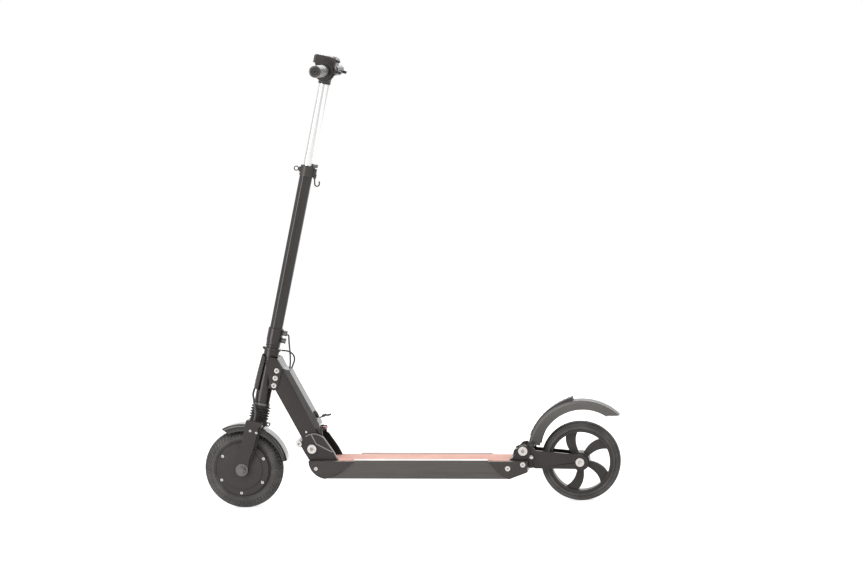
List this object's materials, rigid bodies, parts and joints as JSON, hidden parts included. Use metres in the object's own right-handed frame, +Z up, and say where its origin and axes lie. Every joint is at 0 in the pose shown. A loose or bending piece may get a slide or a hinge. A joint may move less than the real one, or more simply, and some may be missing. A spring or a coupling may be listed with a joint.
{
  "type": "electric kick scooter",
  "caption": "Folding electric kick scooter: hub-motor front wheel on a sprung fork, telescopic stem, flat deck, rear swing arm and mudguard foot brake.",
  "frame": {"origin": "on the ground midway between the axles, in the plane of symmetry", "axes": "+X forward towards the motor wheel, +Y to the rider's left, +Z up"},
  "size_m": [1.0519, 0.43, 1.1364],
  "materials": {
    "black_paint": "satin black powder coat",
    "deck_metal": "dark anodised extrusion",
    "black_plastic": "fine textured black moulding",
    "gloss_black": "glossy black moulding",
    "fender_plastic": "grey-black moulding",
    "bare_metal": "brushed, clear anodised",
    "fastener": "plated steel",
    "steel": "turned steel",
    "hub": "satin black cast aluminium",
    "tyre": "black rubber",
    "rubber": "soft black rubber",
    "mat": "salmon red standing mat",
    "release_red": "dull red paint",
    "lamp": "clear lens",
    "screen": "pale grey display window",
    "cells": "shrink wrapped cell pack",
    "board": "potted circuit board",
    "winding": "copper windings on laminated steel"
  },
  "bodies": {
    "deck": {"deck_shell": "deck_metal", "grip_mat": "mat", "front_end_cap": "black_plastic", "rear_end_cap": "black_plastic", "deck_screws": "fastener", "battery_pack": "cells", "hinge_bracket": "black_paint", "pivot_bolts": "fastener", "rear_bracket": "black_paint", "rear_buffers": "rubber"},
    "front_frame": {"stem_box": "black_paint", "controller": "board", "head_tube": "black_paint", "head_plates": "black_paint", "head_bolts": "fastener", "headset_bearings": "steel", "headlight_housing": "black_plastic", "headlight_lens": "lamp", "charge_socket": "black_plastic"},
    "release_lever": {"release_lever": "release_red"},
    "charge_cap": {"charge_cap": "rubber"},
    "steering": {"steerer_tube": "steel", "stem_sleeve": "black_paint", "stem_bolts": "fastener", "outer_tube": "black_paint", "stem_collar": "black_plastic", "bellows": "rubber", "fork_spring": "steel", "control_cables": "rubber"},
    "height_pin": {"height_pin": "fastener"},
    "bag_hook": {"bag_hook": "black_paint"},
    "inner_stem": {"inner_tube": "bare_metal", "console": "black_plastic", "display": "screen"},
    "left_handlebar": {"left_bar": "black_plastic", "left_grip": "rubber"},
    "right_handlebar": {"right_bar": "black_plastic", "right_grip": "rubber"},
    "throttle_lever": {"throttle_lever": "black_plastic"},
    "brake_lever": {"brake_lever": "black_plastic"},
    "power_button": {"power_button": "black_plastic"},
    "horn_button": {"horn_button": "black_plastic"},
    "fork": {"fork": "black_paint", "stanchion": "steel", "front_fender": "gloss_black", "motor_axle": "steel", "stator": "winding", "fork_fasteners": "steel", "motor_cable": "rubber"},
    "front_wheel": {"hub_shell": "hub", "hub_covers": "hub", "front_tyre": "tyre", "motor_bearings": "steel"},
    "swing_arm": {"swing_arm": "black_paint", "rear_axle": "fastener"},
    "rear_wheel": {"rear_rim": "hub", "rear_tyre": "tyre", "rear_bearings": "steel"},
    "foot_brake": {"rear_fender": "fender_plastic", "fender_pad": "rubber"}
  },
  "joints": [
    {"name": "fold", "type": "hinge", "parent": "deck", "child": "front_frame", "pos_m": [0.24406, 0, 0.15024], "axis": [0, -1, 0], "range_deg": [0, 75]},
    {"name": "fold_release", "type": "hinge", "parent": "front_frame", "child": "release_lever", "pos_m": [0.21946, 0, 0.19655], "axis": [0, -1, 0], "range_deg": [0, 9], "stiffness_Nm_per_rad": 0.4, "springref_deg": -11.46},
    {"name": "charge_cap_hinge", "type": "hinge", "parent": "front_frame", "child": "charge_cap", "pos_m": [0.22769, 0, 0.22402], "axis": [0, 1, 0], "range_deg": [0, 100], "stiffness_Nm_per_rad": 0.02},
    {"name": "steer", "type": "hinge", "parent": "front_frame", "child": "steering", "pos_m": [0.41423, 0, 0.09972], "axis": [-0.2314, 0, 0.9729], "range_deg": [-45, 45], "deforming": ["control_cables"]},
    {"name": "front_suspension", "type": "slide", "parent": "steering", "child": "fork", "axis": [-0.2314, 0, 0.9729], "range_m": [0, 0.02], "stiffness_N_per_m": 15000, "springref_m": -0.012, "deforming": ["bellows", "fork_spring", "motor_cable"]},
    {"name": "front_wheel_spin", "type": "hinge", "parent": "fork", "child": "front_wheel", "pos_m": [0.42562, 0, 0.1], "axis": [0, 1, 0], "continuous": true},
    {"name": "stem_height", "type": "slide", "parent": "steering", "child": "inner_stem", "axis": [-0.2314, 0, 0.9729], "range_m": [-0.2, 0]},
    {"name": "height_pin_pull", "type": "slide", "parent": "steering", "child": "height_pin", "axis": [0.9729, 0, 0.2314], "range_m": [0, 0.005], "stiffness_N_per_m": 500, "springref_m": -0.004},
    {"name": "bag_hook_swing", "type": "hinge", "parent": "steering", "child": "bag_hook", "pos_m": [0.2188, 0, 0.82666], "axis": [0, 1, 0], "range_deg": [-12, 75]},
    {"name": "left_bar_fold", "type": "hinge", "parent": "inner_stem", "child": "left_handlebar", "pos_m": [0.17774, 0.07, 1.09392], "axis": [-0.9729, 0, -0.2314], "range_deg": [0, 90]},
    {"name": "right_bar_fold", "type": "hinge", "parent": "inner_stem", "child": "right_handlebar", "pos_m": [0.17774, -0.07, 1.09392], "axis": [0.9729, 0, 0.2314], "range_deg": [0, 90]},
    {"name": "throttle", "type": "hinge", "parent": "inner_stem", "child": "throttle_lever", "pos_m": [0.17774, 0, 1.09392], "axis": [0, -1, 0], "range_deg": [0, 25], "stiffness_Nm_per_rad": 0.25, "springref_deg": -14.32},
    {"name": "brake", "type": "hinge", "parent": "inner_stem", "child": "brake_lever", "pos_m": [0.17774, 0, 1.09392], "axis": [0, -1, 0], "range_deg": [0, 25], "stiffness_Nm_per_rad": 0.25, "springref_deg": -14.32},
    {"name": "power_press", "type": "slide", "parent": "inner_stem", "child": "power_button", "axis": [0.2314, 0, -0.9729], "range_m": [0, 0.001], "stiffness_N_per_m": 800, "springref_m": -0.001},
    {"name": "horn_press", "type": "slide", "parent": "inner_stem", "child": "horn_button", "axis": [0.9729, 0, 0.2314], "range_m": [0, 0.002], "stiffness_N_per_m": 600, "springref_m": -0.001},
    {"name": "rear_suspension", "type": "hinge", "parent": "deck", "child": "swing_arm", "pos_m": [-0.28486, 0, 0.1324], "axis": [0, 1, 0], "range_deg": [0, 8], "stiffness_Nm_per_rad": 350, "springref_deg": -2.86, "deforming": ["rear_buffers"]},
    {"name": "rear_wheel_spin", "type": "hinge", "parent": "swing_arm", "child": "rear_wheel", "pos_m": [-0.42562, 0, 0.1], "axis": [0, 1, 0], "continuous": true},
    {"name": "foot_brake_press", "type": "hinge", "parent": "swing_arm", "child": "foot_brake", "pos_m": [-0.30478, 0, 0.14539], "axis": [0, -1, 0], "range_deg": [0, 14], "stiffness_Nm_per_rad": 6, "springref_deg": -14.32}
  ]
}
